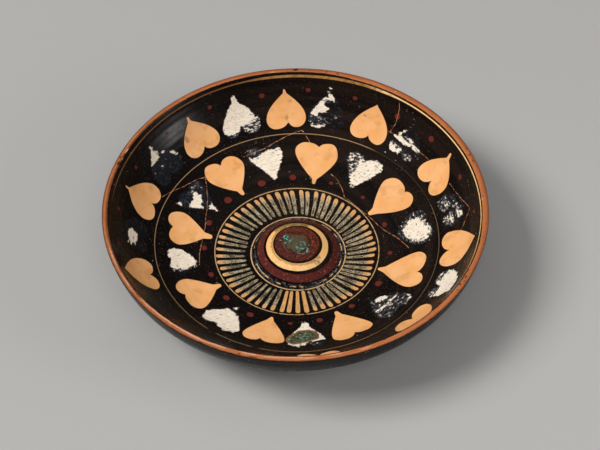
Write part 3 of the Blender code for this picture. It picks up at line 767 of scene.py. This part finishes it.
def build_bowl():
    """The bowl with everything that its paint is mixed from, as values at its points."""
    surface = Surface()
    out = relief(surface)
    radius = surface.radius + surface.normal[:, 0] * out
    height = surface.height + surface.normal[:, 1] * out
    turn = np.radians(surface.angle)
    places = np.stack((radius * np.cos(turn), radius * np.sin(turn), height), axis=1) * MM
    mesh = bpy.data.meshes.new("phiale_bowl")
    mesh.from_pydata(places.tolist(), [], surface.faces())
    mesh.shade_smooth()

    set_values(mesh, "run", surface.run)
    clay_groups = ((OUTER_CLAY_LEAVES, OUTER_FULLNESS), (INNER_CLAY_LEAVES, INNER_FULLNESS))
    white_groups = ((OUTER_WHITE_LEAVES, OUTER_FULLNESS), (INNER_WHITE_LEAVES, INNER_FULLNESS))
    set_values(mesh, "reserved", leaf_field(surface, clay_groups))
    set_values(mesh, "white", leaf_field(surface, white_groups))
    set_values(mesh, "white_left", cover_field(surface))
    set_values(mesh, "trace", oval_field(surface, BARE_TRACES))
    set_values(mesh, "smudges", oval_field(surface, CLAY_SMUDGES))
    green = np.full(len(surface.run), -FAR)
    chosen, depth = patch_depth(surface, GREEN_STAIN)
    green[chosen] = depth
    set_values(mesh, "green", green)
    dots = tuple((angle, run, radius * 1.1, radius * 0.95) for angle, run, radius in RED_DOTS)
    set_values(mesh, "dots", oval_field(surface, dots))
    set_values(mesh, "lip_dark", oval_field(surface, LIP_DARK_MARKS, surface.lip_run))
    set_values(mesh, "lip_pale", oval_field(surface, LIP_PALE_MARKS, surface.lip_run))
    outer_edge = surface.lip_run + LIP_WIDTH / MM
    set_values(mesh, "chips", oval_field(surface, OUTSIDE_CHIPS, outer_edge))
    depth, shade = tongue_fields(surface)
    set_values(mesh, "tongues", depth)
    set_values(mesh, "tongue_shade", shade)
    for name, cracks in (("crack_across", CRACKS_ACROSS), ("crack_along", CRACKS_ALONG)):
        across, reach = crack_fields(surface, cracks)
        set_values(mesh, name, across)
        set_values(mesh, name + "_reach", reach)

    bowl = bpy.data.objects.new("phiale_bowl", mesh)
    bpy.context.scene.collection.objects.link(bowl)
    mesh.materials.append(painted_clay(surface.lip_run))
    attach(bowl, "root")
    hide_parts("phiale")


def colour(red, green, blue):
    """A colour as it looks on a screen, 0 to 255, turned into light."""
    parts = []
    for part in (red, green, blue):
        share = part / 255
        parts.append(share / 12.92 if share <= 0.04045 else ((share + 0.055) / 1.055) ** 2.4)
    return (*parts, 1.0)


GLAZE = colour(16, 13, 12)
GLAZE_BROWN = colour(42, 31, 25)
CLAY = colour(232, 168, 104)
CLAY_PALE = colour(238, 180, 124)
CLAY_STAINED = colour(186, 136, 84)
WHITE = colour(242, 230, 212)
WHITE_WORN = colour(206, 188, 162)
TRACE = colour(22, 24, 29)
FILM = colour(92, 97, 106)
DUST = colour(120, 122, 118)
PINHOLE = colour(150, 92, 56)
RED_DOT = colour(116, 46, 40)
RED_BAND = colour(104, 44, 37)
RED_BAND_DARK = colour(56, 26, 24)
YELLOW_BAND = colour(236, 184, 118)
YELLOW_WORN = colour(112, 88, 52)
YELLOW_PALE = colour(246, 204, 156)
GOLD_DULL = colour(166, 122, 66)
RUST = colour(112, 52, 32)
RUST_BRIGHT = colour(182, 96, 54)
TONGUE_TIP = colour(218, 164, 104)
TONGUE_BODY = colour(168, 154, 122)
LINE = colour(206, 168, 120)
LIP_CLAY = colour(186, 112, 68)
LIP_BRIGHT = colour(190, 112, 66)
LIP_DEEP = colour(138, 80, 48)
LIP_BROWN = colour(84, 50, 34)
LIP_PALE = colour(216, 176, 150)
GOLD_LIGHT = colour(246, 206, 144)
GOLD = colour(178, 132, 76)
GOLD_BROWN = colour(128, 86, 50)
CRACK_FILL = colour(116, 66, 42)
CRACK_PALE = colour(206, 142, 98)
CRUST = colour(96, 88, 64)
OLIVE = colour(52, 54, 42)
OLIVE_PALE = colour(142, 148, 118)
TURQUOISE = colour(84, 178, 160)
GREEN_RIM = colour(132, 92, 48)
STAND_CLAY = colour(176, 112, 70)
# A painted highlight: the grey sheen in the groove round the boss.
PAINTED_GLINT = colour(104, 108, 116)
GLAZE_ROUGHNESS = 0.27
SPECULAR_LEVEL = 0.06

# The painted rings in millimetres: the centre, the radius and half the width of each.
OUTER_RING = ((0.51, 0.16), 78.91, 0.18)
MIDDLE_RING = ((0.49, 0.13), 45.87, 0.24)
INNER_RING = ((1.2, -0.7), 26.45, 0.32)

# The gold line under the lip: its run, and how far it drifts outwards to the right and to the back.
GOLD_LINE_RUN = 117.15
GOLD_LINE_DRIFT = (0.433, 0.25)

# The boss's red disc, yellow ring, red band, foot and crust, each about its own centre.
DISC_CENTRE = (0.6, -0.05)
DISC_RADIUS = 12.5
YELLOW_INNER_CENTRE = (1.0, -0.05)
YELLOW_INNER_RADIUS = 13.74
YELLOW_OUTER_CENTRE = (0.7, -0.4)
YELLOW_OUTER_RADIUS = 17.3
BAND_CENTRE = (1.3, -0.05)
BAND_INNER_RADIUS = 19.3
BAND_OUTER_RADIUS = 22.9
FOOT_CENTRE = (1.1, -0.4)
CRUST_CENTRE = (0.6, -0.8)

# Where the lip's bare clay and the standing ring's worn clay start and end, from the lip's inner edge.
LIP_CLAY_START = 0.12
LIP_CLAY_END = 3.75
STAND_START = 89.0
STAND_END = 101.0


class Value:
    """A number or a place that a material works out as it renders. Values are added, multiplied
    and compared as numbers are, and each step becomes a node."""

    def __init__(self, graph, socket):
        self.graph = graph
        self.socket = socket

    def math(self, operation, first, second=0.0):
        return self.graph.node("Math", {0: first, 1: second}, operation=operation)

    def __add__(self, other):
        return self.math("ADD", self, other)

    def __mul__(self, other):
        return self.math("MULTIPLY", self, other)

    def __sub__(self, other):
        return self.math("SUBTRACT", self, other)

    def __rsub__(self, other):
        return self.math("SUBTRACT", other, self)

    def __abs__(self):
        return self.math("ABSOLUTE", self)

    __radd__ = __add__
    __rmul__ = __mul__

    def above(self, level, soft):
        """0 below a level and 1 above it, with a soft edge this wide on each side."""
        inputs = {"Value": self, "From Min": level - soft, "From Max": level + soft}
        return self.graph.node("MapRange", inputs, interpolation_type="SMOOTHSTEP")

    def below(self, level, soft):
        return 1 - self.above(level, soft)

    def between(self, low, high, soft):
        return self.above(low, soft) - self.above(high, soft)

    def vector(self, operation, other=(0.0, 0.0, 0.0), output="Vector"):
        return self.graph.node("VectorMath", {0: self, 1: other}, output, operation=operation)

    def scaled(self, x, y, z):
        return self.vector("MULTIPLY", (x, y, z))

    def shifted(self, by):
        return self.vector("ADD", by)

    def unit(self):
        return self.vector("NORMALIZE")

    def dot(self, other):
        return self.vector("DOT_PRODUCT", other, "Value")

    def noise(self, scale, detail=3.0, roughness=0.55):
        """Noise from 0 to 1 with this many waves to the millimetre."""
        inputs = {"Vector": self, "Scale": scale, "Detail": detail, "Roughness": roughness}
        return self.graph.node("TexNoise", inputs)

    def swing(self, scale, amount, detail=3.0):
        """Noise as a push to either side of zero."""
        return (self.noise(scale, detail) - 0.5) * amount

    def toward(self, angle, spread, soft=0.08):
        """Of a direction: 1 on the side of the bowl at this angle, fading past the spread to each
        side, in degrees."""
        turn = math.radians(angle)
        side = self.dot((math.cos(turn), math.sin(turn), 0.0))
        return side.above(math.cos(math.radians(spread)), soft)


def larger(first, second):
    return first.math("MAXIMUM", first, second)


def mix(share, first, second):
    """A colour between two colours."""
    return share.graph.node("Mix", {0: share, 6: first, 7: second}, 2, data_type="RGBA")


def blend(share, first, second):
    """A number between two numbers."""
    return share.graph.node("Mix", {0: share, 2: first, 3: second}, 0, data_type="FLOAT")


class Graph:
    """One material's nodes, added in small steps that each give back a value."""

    def __init__(self, name):
        self.material = bpy.data.materials.new(name)
        self.material.use_nodes = True
        self.tree = self.material.node_tree

    def node(self, kind, inputs, output=0, **settings):
        node = self.tree.nodes.new("ShaderNode" + kind)
        for setting, value in settings.items():
            setattr(node, setting, value)
        for socket, value in inputs.items():
            self.feed(node.inputs[socket], value)
        return Value(self, node.outputs[output])

    def feed(self, socket, value):
        if isinstance(value, Value):
            self.tree.links.new(value.socket, socket)
        else:
            socket.default_value = value

    def shade(self, inputs):
        """The material, once these values are fed to its shader."""
        shader = self.tree.nodes["Principled BSDF"]
        for socket, value in inputs.items():
            self.feed(shader.inputs[socket], value)
        return self.material


class Coat:
    """The bowl's surface while paints are laid over one another: its colour, roughness and height
    so far, and the places that the paints are drawn by, in millimetres."""

    def __init__(self, lip_run):
        self.graph = Graph("painted_clay")
        self.place = self.graph.node("TexCoord", {}, "Object").scaled(1 / MM, 1 / MM, 1 / MM)
        self.flat = self.place.scaled(1.0, 1.0, 0.0)
        self.direction = self.flat.unit()
        self.run = self.value("run")
        self.lip_run = lip_run
        self.inside = self.run.below(lip_run, 0.1)
        self.ragged_run = self.run + self.place.swing(0.45, 0.9, 5.0)
        self.wander = self.place.swing(0.35, 0.35)
        along_run = self.joined(0.0, 0.0, self.run)
        self.streaks = self.direction.scaled(6.0, 6.0, 6.0).shifted(along_run)
        self.brushed = self.direction.scaled(30.0, 30.0, 30.0).shifted(along_run)
        self.colour = GLAZE
        self.roughness = GLAZE_ROUGHNESS
        self.height = 0.0

    def value(self, name):
        """A value kept at the mesh's points."""
        return self.graph.node("Attribute", {}, "Fac", attribute_name=name)

    def joined(self, x, y, z):
        return self.graph.node("CombineXYZ", {0: x, 1: y, 2: z})

    def distance_from(self, centre):
        """The distance from a point near the bowl's axis, seen from above."""
        return self.flat.shifted((-centre[0], -centre[1], 0.0)).vector("LENGTH", output="Value")

    def ring(self, centre, radius, half_width):
        """A painted ring about its own centre."""
        return self.distance_from(centre).between(radius - half_width, radius + half_width, 0.1)

    def lay(self, mask, colour_value, roughness, height=0.0):
        """Lays one paint over the others where the mask is 1."""
        self.colour = mix(mask, self.colour, colour_value)
        self.roughness = blend(mask, self.roughness, roughness)
        if height:
            self.height = mask * height + self.height

    def finish(self):
        """The material that all the paints make together."""
        height = self.height + self.place.swing(2.0, 0.014, 2.0) + self.streaks.swing(0.9, 0.02, 2.0)
        return self.graph.shade({
            "Base Color": self.colour,
            "Roughness": self.roughness,
            "Normal": self.graph.node("Bump", {"Height": height, "Strength": 1.0, "Distance": MM}),
            "Specular IOR Level": SPECULAR_LEVEL,
        })


def lay_glaze(coat):
    """Black glaze, browner in streaks where it is thin, with pinholes, dull spots and dust. The brown is kept
    off the left wall as painted shade, and on the right wall its tone is a painted sheen.
    """
    place, streaks = coat.place, coat.streaks
    # Thin-glaze streaks plus painted light: left off the left wall as painted shade, and standing in for a
    # painted sheen on the right wall.
    thin = streaks.noise(0.16, 4.0).above(0.52, 0.16) * coat.direction.toward(25.0, 100.0, 0.4)
    coat.colour = mix(thin * 0.6, GLAZE, GLAZE_BROWN)
    dull = place.swing(0.10, 0.16) + place.swing(0.5, 0.16) + streaks.swing(0.7, 0.05)
    coat.roughness = dull + GLAZE_ROUGHNESS
    crowded = place.noise(0.035, 2.0).above(0.48, 0.12)
    pinholes = place.noise(1.7, 2.0) + crowded * 0.05
    coat.lay(pinholes.above(0.755, 0.02), PINHOLE, 0.6, -0.05)
    coat.lay(place.noise(0.9).above(0.71, 0.02) * 0.8, GLAZE, 0.6, -0.06)
    dust = place.shifted((40.0, 0.0, 0.0)).noise(2.2, 2.0) + crowded * 0.03
    coat.lay(dust.above(0.755, 0.02) * 0.8, DUST, 0.7)


def lay_gold_line(coat):
    """The reserved line under the lip, wider at the far side, gold to the right and brown to the
    left, and gone at the near left."""
    place, direction = coat.place, coat.direction
    half = direction.toward(80.0, 24.0, 0.05) * 0.38 + 0.44 + place.swing(0.6, 0.25)
    drift = direction.dot((GOLD_LINE_DRIFT[0], GOLD_LINE_DRIFT[1], 0.0))
    aside = abs(coat.run - GOLD_LINE_RUN - drift)
    gold = (half - aside).above(0.0, 0.08) * coat.inside * (1 - direction.toward(-150.0, 38.0))
    tone = mix(direction.toward(10.0, 52.0, 0.05), GOLD, GOLD_LIGHT)
    tone = mix(direction.toward(165.0, 62.0, 0.15), tone, GOLD_BROWN)
    patchy = place.noise(0.35, 5.0, 0.7).above(0.53, 0.08) * direction.toward(95.0, 40.0, 0.1)
    coat.lay(gold, mix(patchy * 0.7, tone, GOLD_BROWN), 0.5)


def lay_rings(coat):
    """The thin reserved rings between the leaves and round the tongues. The outer one is worn off
    at the far right, broken at the near side and dim at the right."""
    direction = coat.direction
    faded = direction.toward(35.0, 21.0, 0.02) * 0.9
    broken = larger(direction.toward(-125.3, 2.2, 0.0006), direction.toward(-106.2, 1.6, 0.0003))
    dimmed = direction.toward(-14.0, 44.0, 0.05) * 0.62
    shown = 1 - larger(faded, larger(broken, dimmed))
    worn = coat.place.noise(0.5, 4.0).above(0.36, 0.08)
    coat.lay(coat.ring(*OUTER_RING) * shown * coat.inside * 0.58, LINE, 0.5)
    coat.lay(coat.ring(*MIDDLE_RING) * worn * coat.inside * 0.9, LINE, 0.5)
    coat.lay(coat.ring(*INNER_RING) * worn * coat.inside * 0.95, LINE, 0.5)


def lay_tongues(coat):
    """Tongues of thinned clay, buff towards the leaves, worn to grey with dark hair lines inwards."""
    place, run = coat.place, coat.run
    depth = coat.value("tongues") + place.swing(0.8, 0.25)
    mask = depth.above(0.0, 0.08)
    shade = coat.value("tongue_shade")
    fresh = shade.above(0.75, 0.05)
    clean = larger((run + place.swing(0.45, 4.5)).above(43.0, 0.9), fresh)
    tone = mix(clean, TONGUE_BODY, TONGUE_TIP)
    coat.lay(mask, mix(shade * (1 - fresh) * 0.5, tone, WHITE_WORN), 0.55)
    hair = coat.joined(depth * 2.6, run * 0.22, shade * 40.0).noise(1.0)
    flecks = (place.noise(1.3, 5.0, 0.8) + hair * 0.8).above(0.90, 0.05) * (0.9 - clean * 0.6)
    coat.lay(mask * flecks, GLAZE_BROWN, 0.45)


def lay_dots(coat):
    """Worn dots of red between the leaves."""
    depth = coat.value("dots") + coat.place.swing(0.7, 0.7)
    tone = mix(coat.place.noise(1.2, 4.0).above(0.5, 0.15), RED_DOT, RED_BAND)
    coat.lay(depth.above(0.0, 0.2) * 0.78, tone, 0.6)


def lay_white(coat):
    """White leaves, flaked: what is left of the white, and the dull trace where it is lost."""
    place, brushed = coat.place, coat.brushed
    leaf = (coat.value("white") + place.swing(0.6, 0.35)).above(0.0, 0.10)
    bare = coat.value("trace").above(0.0, 0.5)
    coat.lay(leaf * (0.3 + bare * 0.6), TRACE, 0.55)
    grain = place.noise(0.6, 5.0, 0.7) * 1.5 + brushed.noise(0.9, 4.0, 0.65) * 1.5
    grain = grain - 1.0 + coat.value("white_left") * 0.72
    lost = brushed.scaled(1.0, 1.0, 1.2).noise(0.8).above(0.66, 0.03) * 0.85
    strokes = place.scaled(0.35, 1.6, 1.0).noise(1.2).above(0.53, 0.1)
    coat.lay(grain.above(0.74, 0.18) * leaf * 0.36, FILM, 0.7)
    coat.lay(grain.above(0.96, 0.07) * (1 - lost), mix(strokes * 0.6, WHITE, WHITE_WORN), 0.8, 0.08)


def lay_green_stain(coat):
    """A green stain with a rusty rim on one of the white leaves."""
    place = coat.place
    green = coat.value("green") + place.swing(0.5, 1.4)
    coat.lay(green.above(-0.9, 0.3), GREEN_RIM, 0.7)
    stain = mix(place.noise(0.9, 5.0, 0.75).above(0.56, 0.06), OLIVE, OLIVE_PALE)
    stain = mix(place.noise(0.6).above(0.64, 0.03), stain, TURQUOISE)
    coat.lay(green.above(0.1, 0.5), stain, 0.7, 0.1)


def lay_reserved(coat):
    """Bare burnished clay left open in the glaze as leaves."""
    place = coat.place
    depth = coat.value("reserved") + place.swing(0.5, 0.12)
    mask = depth.above(0.0, 0.08)
    tone = mix(place.noise(0.09).above(0.5, 0.2), CLAY, CLAY_PALE)
    tone = mix(place.noise(0.16, 4.0).above(0.60, 0.08) * 0.35, tone, CLAY_STAINED)
    coat.lay(mask, tone, 0.5, -0.02)
    coat.lay(mask * place.noise(0.9, 2.0).above(0.72, 0.02) * 0.6, CLAY_STAINED, 0.6)
    smudge = (coat.value("smudges") + place.swing(0.6, 1.2)).above(0.0, 0.5)
    coat.lay(mask * smudge * 0.5, YELLOW_WORN, 0.6)
    coat.lay(depth.between(-0.35, 0.0, 0.12) * 0.8, GLAZE, 0.3, 0.02)


def lay_boss_red(coat):
    """The boss's outer red band and its red disc, scraped in circles and rusty on the right."""
    place, direction = coat.place, coat.direction
    red = mix(place.noise(0.5, 5.0, 0.75), RED_BAND_DARK, RED_BAND)
    red = mix(place.noise(0.8, 5.0, 0.75).above(0.61, 0.03) * 0.35, red, LIP_PALE)
    from_band = coat.distance_from(BAND_CENTRE) + coat.wander
    coat.lay(from_band.between(BAND_INNER_RADIUS, BAND_OUTER_RADIUS, 0.12), red, 0.5)
    from_middle = coat.distance_from(DISC_CENTRE) + coat.wander
    disc = from_middle.below(DISC_RADIUS, 0.12)
    rusty = place.noise(0.45, 5.0, 0.7).above(0.5, 0.12) * direction.toward(30.0, 95.0, 0.4)
    coat.lay(disc, mix(rusty, red, RUST), 0.55)
    circles = coat.joined(from_middle * 1.6, 0.0, 0.0).shifted(direction.scaled(1.2, 1.2, 1.2))
    scraped = circles.noise(1.0) + place.swing(0.7, 0.5, 5.0)
    coat.lay(disc * scraped.above(0.53, 0.04) * 0.85, GLAZE_BROWN, 0.45)
    sparks = place.noise(0.9, 4.0, 0.7).above(0.62, 0.03) * disc * direction.toward(40.0, 85.0, 0.3)
    coat.lay(sparks * 0.75, RUST_BRIGHT, 0.6)
    coat.lay(from_middle.between(6.7, 7.7, 0.3) * 0.75, GLAZE_BROWN, 0.5)


def lay_boss_yellow(coat):
    """The boss's yellow ring, rubbed at the far side and the near right, with a dull ragged edge
    towards the disc."""
    place, direction = coat.place, coat.direction
    from_inner = coat.distance_from(YELLOW_INNER_CENTRE) + coat.wander
    from_outer = coat.distance_from(YELLOW_OUTER_CENTRE) + coat.wander
    yellow = from_inner.above(YELLOW_INNER_RADIUS, 0.08) * from_outer.below(YELLOW_OUTER_RADIUS, 0.08)
    worn = place.noise(0.4, 5.0, 0.7) + direction.toward(100.0, 40.0, 0.1) * 0.25
    worn = (worn + direction.toward(-45.0, 12.0, 0.02) * 0.2).above(0.66, 0.07)
    coat.lay(yellow, mix(worn * 0.85, YELLOW_BAND, YELLOW_WORN), 0.55)
    ragged = (from_inner + place.swing(0.6, 2.4)).between(13.3, 15.0, 0.25)
    ragged = ragged * direction.toward(-140.0, 105.0, 0.2) * 0.75
    coat.lay(ragged * yellow, GOLD_DULL, 0.6)
    bright = place.noise(0.55, 4.0).above(0.52, 0.1) * direction.toward(-90.0, 70.0, 0.2)
    coat.lay(yellow * bright * (1 - ragged) * 0.6, YELLOW_PALE, 0.55)


def lay_boss_foot(coat):
    """Painted grey highlights in the groove round the boss, and what is left of a thin line there."""
    foot = coat.distance_from(FOOT_CENTRE) + coat.wander
    # Painted highlight: grey specks standing in for light caught in the groove.
    painted_highlights = foot.between(23.3, 25.9, 0.3) * coat.place.noise(0.7, 5.0, 0.7).above(0.54, 0.05)
    coat.lay(painted_highlights * 0.45, PAINTED_GLINT, 0.5)
    coat.lay(foot.between(24.3, 24.8, 0.1) * coat.place.noise(0.2).above(0.52, 0.04), LINE, 0.55)


def lay_boss_crust(coat):
    """The crust on the boss: olive lumps with a rim, pale crystals and two clusters of turquoise."""
    place = coat.place
    centre = coat.distance_from(CRUST_CENTRE) + coat.wander
    lumps = place.swing(0.4, 8.0) - centre
    coat.lay(lumps.above(-5.8, 0.5) * 0.9, mix(place.noise(1.0, 5.0, 0.75), OLIVE, CRUST), 0.8)
    rim = centre.between(6.8, 7.8, 0.2) * coat.direction.toward(175.0, 60.0, 0.2)
    coat.lay(rim * place.noise(0.6) * 0.7, CRUST, 0.7)

    def spot(middle, radius):
        return (coat.distance_from(middle) + coat.wander).below(radius, 0.8)

    crystals = place.noise(0.9, 5.0, 0.75).above(0.57, 0.03) * spot((0.6, -4.6), 3.2)
    coat.lay(crystals * 0.85, DUST, 0.8, 0.1)
    clusters = larger(spot((-5.2, 1.8), 3.6), spot((3.6, -4.0), 4.4))
    coat.lay(place.noise(0.7, 4.0).above(0.585, 0.02) * clusters, TURQUOISE, 0.75, 0.1)


def lay_cracks(coat):
    """Mended breaks: a thin broken line of filler, paler in places, fainter where it crosses a leaf."""
    place = coat.place
    on_leaf = larger(coat.value("reserved").above(0.2, 0.2), coat.value("white_left").above(0.6, 0.2))
    shown = place.noise(0.5, 4.0).above(0.42, 0.14) * (1 - on_leaf * 0.75)
    tone = mix(place.noise(0.4).above(0.47, 0.08), CRACK_FILL, CRACK_PALE)
    half_width = place.noise(0.45) * 0.30
    for name in ("crack_across", "crack_along"):
        across = abs(coat.value(name) + place.swing(0.5, 1.1))
        line = (half_width - across).above(0.0, 0.09) * coat.value(name + "_reach").above(-0.4, 0.2)
        coat.lay(line * shown, tone, 0.7, -0.06)


def lay_lip(coat):
    """The lip's bare clay, darker along its edges, with its dark and pale marks. The glaze comes over its
    inner edge, except at the right, and a little over its outer edge at the left. Painted shade darkens its
    inner half at the left."""
    place, direction, ragged, lip_run = coat.place, coat.direction, coat.ragged_run, coat.lip_run
    left_side = direction.toward(184.0, 62.0, 0.2)
    right_side = direction.toward(45.0, 80.0, 0.2)
    late = 1 - direction.toward(32.0, 42.0, 0.08)
    start = late * 0.75 + (lip_run + LIP_CLAY_START)
    end = left_side * -0.15 + place.swing(0.5, 0.7, 5.0) + (lip_run + LIP_CLAY_END)
    from_end = end - coat.run
    top = (ragged - start).above(0.0, 0.12) * from_end.above(0.0, 0.12)
    tone = mix(coat.streaks.noise(1.2, 6.0, 0.65).above(0.5, 0.12) * 0.6, LIP_CLAY, LIP_DEEP)
    tone = mix(right_side * ragged.below(lip_run + 1.1, 0.5) * 0.8, tone, LIP_BRIGHT)
    tone = mix(right_side * ragged.above(lip_run + 2.5, 0.6) * 0.95, tone, LIP_DEEP)
    # Painted shade: the inner half of the lip at the left, which faces away from the key light, is darkened
    # to brown.
    painted_shade = ragged.below(lip_run + 1.9, 0.7) * direction.toward(178.0, 44.0, 0.14)
    coat.lay(top, mix(painted_shade * 0.85, tone, LIP_BROWN), 0.6)
    coat.lay(top * place.noise(1.1, 4.0, 0.7).above(0.63, 0.03) * 0.7, LIP_BROWN, 0.5)
    coat.lay(top * from_end.between(0.0, 0.55, 0.15) * (1 - right_side * 0.6) * 0.6, LIP_BROWN, 0.5)
    unsteady = place.swing(1.0, 0.9)
    dark = (coat.value("lip_dark") + unsteady).above(0.0, 0.10)
    coat.lay(top * dark * 0.9, GLAZE_BROWN, 0.5, -0.05)
    pale = (coat.value("lip_pale") + unsteady).above(-0.05, 0.14)
    coat.lay(top * pale * 0.55, LIP_PALE, 0.6)


def lay_outside(coat):
    """Chips and streaks below the lip, and the bare clay of the worn standing ring."""
    chips = coat.value("chips") + coat.place.swing(1.2, 0.9)
    coat.lay(chips.above(0.08, 0.1), CRACK_PALE, 0.7, -0.1)
    start, end = coat.lip_run + STAND_START, coat.lip_run + STAND_END
    coat.lay(coat.ragged_run.between(start, end, 0.4), STAND_CLAY, 0.75)


def painted_clay(lip_run):
    """Everything that shows on the bowl: glaze, reserved clay, white, red, lines, wear and crust."""
    coat = Coat(lip_run)
    lay_glaze(coat)
    lay_gold_line(coat)
    lay_rings(coat)
    lay_tongues(coat)
    lay_dots(coat)
    lay_white(coat)
    lay_green_stain(coat)
    lay_reserved(coat)
    lay_boss_red(coat)
    lay_boss_yellow(coat)
    lay_boss_foot(coat)
    lay_boss_crust(coat)
    lay_cracks(coat)
    lay_lip(coat)
    lay_outside(coat)
    return coat.finish()


# The camera, set out from the middle of the lip as it stood for the photograph.
CAMERA_ELEVATION = 49.616
CAMERA_DISTANCE = 1.08975
CAMERA_ASIDE = 0.00239
CAMERA_DOWN = -0.01062
CAMERA_ROLL = -0.618
FOCAL_LENGTH = 120.0
SENSOR_WIDTH = 36.0


def place_camera(lip_height):
    elevation = math.radians(CAMERA_ELEVATION)
    back = Vector((0.0, -math.cos(elevation), math.sin(elevation)))
    right = Vector((1.0, 0.0, 0.0))
    up = back.cross(right)
    eye = Vector((0.0, 0.0, lip_height))
    eye += back * CAMERA_DISTANCE + right * CAMERA_ASIDE + up * CAMERA_DOWN
    turned = Matrix((right, up, back)).transposed().to_4x4()
    rolled = turned @ Matrix.Rotation(math.radians(CAMERA_ROLL), 4, "Z")
    data = bpy.data.cameras.new("camera")
    data.lens = FOCAL_LENGTH
    data.sensor_width = SENSOR_WIDTH
    data.clip_start = 0.01
    camera = bpy.data.objects.new("camera", data)
    camera.matrix_world = Matrix.Translation(eye) @ rolled
    bpy.context.scene.collection.objects.link(camera)
    bpy.context.scene.camera = camera


# The studio. The card is a small light at the right, seen only as the sheen on the left wall.
LIGHT_COLOUR = (1.0, 0.975, 0.955)
SKY_STRENGTH = 0.075
FLOOR_HALF_WIDTH = 3.0
FLOOR_PAPER = colour(170, 170, 169)
FLOOR_PAPER_PALE = colour(173, 173, 172)


def soft_light(name, azimuth, elevation, distance, size, power, mirrored=True, lighting=True):
    """A square soft light that faces the bowl; azimuth 0 is +X and 90 is +Y. One that isn't
    mirrored leaves no highlight on the glaze, as behind a polarising sheet, and one that isn't
    lighting is seen in the glaze alone."""
    data = bpy.data.lights.new(name, "AREA")
    data.shape = "SQUARE"
    data.size = size
    data.energy = power
    data.color = LIGHT_COLOUR
    light = bpy.data.objects.new(name, data)
    turn, rise = math.radians(azimuth), math.radians(elevation)
    away = Vector((math.cos(rise) * math.cos(turn), math.cos(rise) * math.sin(turn), math.sin(rise)))
    light.location = away * distance
    light.rotation_euler = away.to_track_quat("Z", "Y").to_euler()
    light.visible_glossy = mirrored
    light.visible_diffuse = lighting
    bpy.context.scene.collection.objects.link(light)


def build_floor():
    half = FLOOR_HALF_WIDTH
    corners = [(-half, -half, 0.0), (half, -half, 0.0), (half, half, 0.0), (-half, half, 0.0)]
    mesh = bpy.data.meshes.new("floor")
    mesh.from_pydata(corners, [], [(0, 1, 2, 3)])
    floor = bpy.data.objects.new("floor", mesh)
    bpy.context.scene.collection.objects.link(floor)
    graph = Graph("floor_paper")
    place = graph.node("TexCoord", {}, "Object")
    tone = mix(place.noise(2.0, 2.0), FLOOR_PAPER, FLOOR_PAPER_PALE)
    mesh.materials.append(graph.shade({"Base Color": tone, "Roughness": 0.9, "Specular IOR Level": 0.1}))


def light_scene():
    world = bpy.data.worlds.new("studio")
    world.use_nodes = True
    background = world.node_tree.nodes["Background"]
    background.inputs["Color"].default_value = (1.0, 1.0, 1.0, 1.0)
    background.inputs["Strength"].default_value = SKY_STRENGTH
    bpy.context.scene.world = world
    bpy.context.scene.view_settings.view_transform = "Standard"
    soft_light("key", 187.0, 50.0, 3.4, 1.4, 110.0, mirrored=False)
    soft_light("overhead", 90.0, 75.0, 2.4, 2.0, 5.0)
    soft_light("front", -80.0, 52.0, 2.0, 0.8, 9.0, mirrored=False)
    soft_light("side", -20.0, 24.0, 1.1, 0.5, 3.6, mirrored=False)
    soft_light("card", -15.0, 15.0, 0.9, 0.24, 6.0, lighting=False)


cad_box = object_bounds()
build_bowl()
build_floor()
place_camera(max(corner.z for corner in cad_box))
light_scene()
